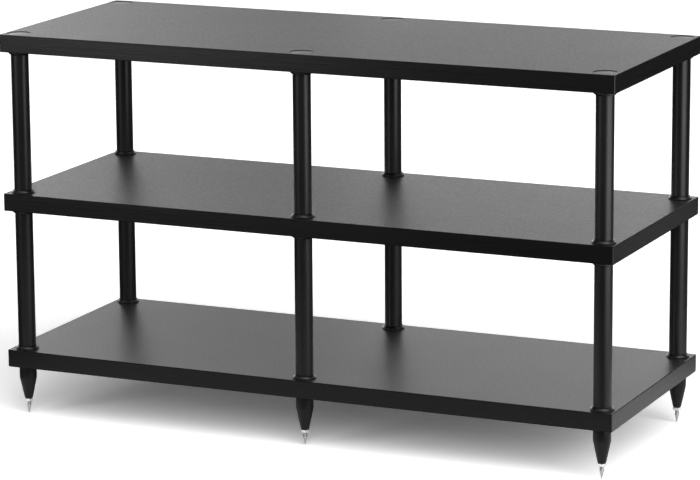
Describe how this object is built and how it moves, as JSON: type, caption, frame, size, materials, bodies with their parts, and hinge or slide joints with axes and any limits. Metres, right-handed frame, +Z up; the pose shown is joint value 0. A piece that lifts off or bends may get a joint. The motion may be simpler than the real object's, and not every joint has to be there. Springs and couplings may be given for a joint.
{
  "type": "audio equipment rack",
  "caption": "Low wide audio rack: thick black boards on steel columns with open bays, standing on conical feet with adjustable chrome spikes.",
  "frame": {"origin": "on the floor, under the middle of the rack, at the height of the spike tips", "axes": "+X along the boards to the right seen from the front, +Y to the back, +Z up; the front faces -Y"},
  "size_m": [1.1, 0.423, 0.663],
  "materials": {
    "laminate_board": "black fine-textured laminate on board, satin",
    "black_steel": "satin black powder coat",
    "black_cap": "black moulded disc, satin",
    "chrome": "polished plating",
    "zinc_steel": "bright zinc plating"
  },
  "bodies": {
    "rack": {"shelf_bottom": "laminate_board", "shelf_middle": "laminate_board", "shelf_top": "laminate_board", "column_lower_front_left": "black_steel", "column_lower_front_middle": "black_steel", "column_lower_front_right": "black_steel", "column_lower_rear_left": "black_steel", "column_lower_rear_middle": "black_steel", "column_lower_rear_right": "black_steel", "column_upper_front_left": "black_steel", "column_upper_front_middle": "black_steel", "column_upper_front_right": "black_steel", "column_upper_rear_left": "black_steel", "column_upper_rear_middle": "black_steel", "column_upper_rear_right": "black_steel", "stud_bottom_front_left": "zinc_steel", "stud_bottom_front_middle": "zinc_steel", "stud_bottom_front_right": "zinc_steel", "stud_bottom_rear_left": "zinc_steel", "stud_bottom_rear_middle": "zinc_steel", "stud_bottom_rear_right": "zinc_steel", "stud_middle_front_left": "zinc_steel", "stud_middle_front_middle": "zinc_steel", "stud_middle_front_right": "zinc_steel", "stud_middle_rear_left": "zinc_steel", "stud_middle_rear_middle": "zinc_steel", "stud_middle_rear_right": "zinc_steel", "top_screw_front_left": "zinc_steel", "top_screw_front_middle": "zinc_steel", "top_screw_front_right": "zinc_steel", "top_screw_rear_left": "zinc_steel", "top_screw_rear_middle": "zinc_steel", "top_screw_rear_right": "zinc_steel", "top_cap_front_left": "black_cap", "top_cap_front_middle": "black_cap", "top_cap_front_right": "black_cap", "top_cap_rear_left": "black_cap", "top_cap_rear_middle": "black_cap", "top_cap_rear_right": "black_cap", "foot_front_left": "black_steel", "foot_front_middle": "black_steel", "foot_front_right": "black_steel", "foot_rear_left": "black_steel", "foot_rear_middle": "black_steel", "foot_rear_right": "black_steel"},
    "lock_nut_front_left": {"lock_nut_front_left": "chrome"},
    "spike_front_left": {"spike_front_left": "chrome"},
    "lock_nut_front_middle": {"lock_nut_front_middle": "chrome"},
    "spike_front_middle": {"spike_front_middle": "chrome"},
    "lock_nut_front_right": {"lock_nut_front_right": "chrome"},
    "spike_front_right": {"spike_front_right": "chrome"},
    "lock_nut_rear_left": {"lock_nut_rear_left": "chrome"},
    "spike_rear_left": {"spike_rear_left": "chrome"},
    "lock_nut_rear_middle": {"lock_nut_rear_middle": "chrome"},
    "spike_rear_middle": {"spike_rear_middle": "chrome"},
    "lock_nut_rear_right": {"lock_nut_rear_right": "chrome"},
    "spike_rear_right": {"spike_rear_right": "chrome"}
  },
  "joints": [
    {"name": "nut_turn_front_left", "type": "hinge", "parent": "rack", "child": "lock_nut_front_left", "pos_m": [-0.525, -0.1865, 0.0245], "axis": [0, 0, -1], "range_deg": [-1728, 3456]},
    {"name": "spike_travel_front_left", "type": "slide", "parent": "lock_nut_front_left", "child": "spike_front_left", "axis": [0, 0, -1], "range_m": [-0.006, 0.012]},
    {"name": "nut_turn_front_middle", "type": "hinge", "parent": "rack", "child": "lock_nut_front_middle", "pos_m": [0, -0.1865, 0.0245], "axis": [0, 0, -1], "range_deg": [-1728, 3456]},
    {"name": "spike_travel_front_middle", "type": "slide", "parent": "lock_nut_front_middle", "child": "spike_front_middle", "axis": [0, 0, -1], "range_m": [-0.006, 0.012]},
    {"name": "nut_turn_front_right", "type": "hinge", "parent": "rack", "child": "lock_nut_front_right", "pos_m": [0.525, -0.1865, 0.0245], "axis": [0, 0, -1], "range_deg": [-1728, 3456]},
    {"name": "spike_travel_front_right", "type": "slide", "parent": "lock_nut_front_right", "child": "spike_front_right", "axis": [0, 0, -1], "range_m": [-0.006, 0.012]},
    {"name": "nut_turn_rear_left", "type": "hinge", "parent": "rack", "child": "lock_nut_rear_left", "pos_m": [-0.525, 0.1865, 0.0245], "axis": [0, 0, -1], "range_deg": [-1728, 3456]},
    {"name": "spike_travel_rear_left", "type": "slide", "parent": "lock_nut_rear_left", "child": "spike_rear_left", "axis": [0, 0, -1], "range_m": [-0.006, 0.012]},
    {"name": "nut_turn_rear_middle", "type": "hinge", "parent": "rack", "child": "lock_nut_rear_middle", "pos_m": [0, 0.1865, 0.0245], "axis": [0, 0, -1], "range_deg": [-1728, 3456]},
    {"name": "spike_travel_rear_middle", "type": "slide", "parent": "lock_nut_rear_middle", "child": "spike_rear_middle", "axis": [0, 0, -1], "range_m": [-0.006, 0.012]},
    {"name": "nut_turn_rear_right", "type": "hinge", "parent": "rack", "child": "lock_nut_rear_right", "pos_m": [0.525, 0.1865, 0.0245], "axis": [0, 0, -1], "range_deg": [-1728, 3456]},
    {"name": "spike_travel_rear_right", "type": "slide", "parent": "lock_nut_rear_right", "child": "spike_rear_right", "axis": [0, 0, -1], "range_m": [-0.006, 0.012]}
  ],
  "couplings": [
    {"joint": "nut_turn_front_left", "follows": "spike_travel_front_left", "rad_per_m": 5026.5},
    {"joint": "nut_turn_front_middle", "follows": "spike_travel_front_middle", "rad_per_m": 5026.5},
    {"joint": "nut_turn_front_right", "follows": "spike_travel_front_right", "rad_per_m": 5026.5},
    {"joint": "nut_turn_rear_left", "follows": "spike_travel_rear_left", "rad_per_m": 5026.5},
    {"joint": "nut_turn_rear_middle", "follows": "spike_travel_rear_middle", "rad_per_m": 5026.5},
    {"joint": "nut_turn_rear_right", "follows": "spike_travel_rear_right", "rad_per_m": 5026.5}
  ]
}
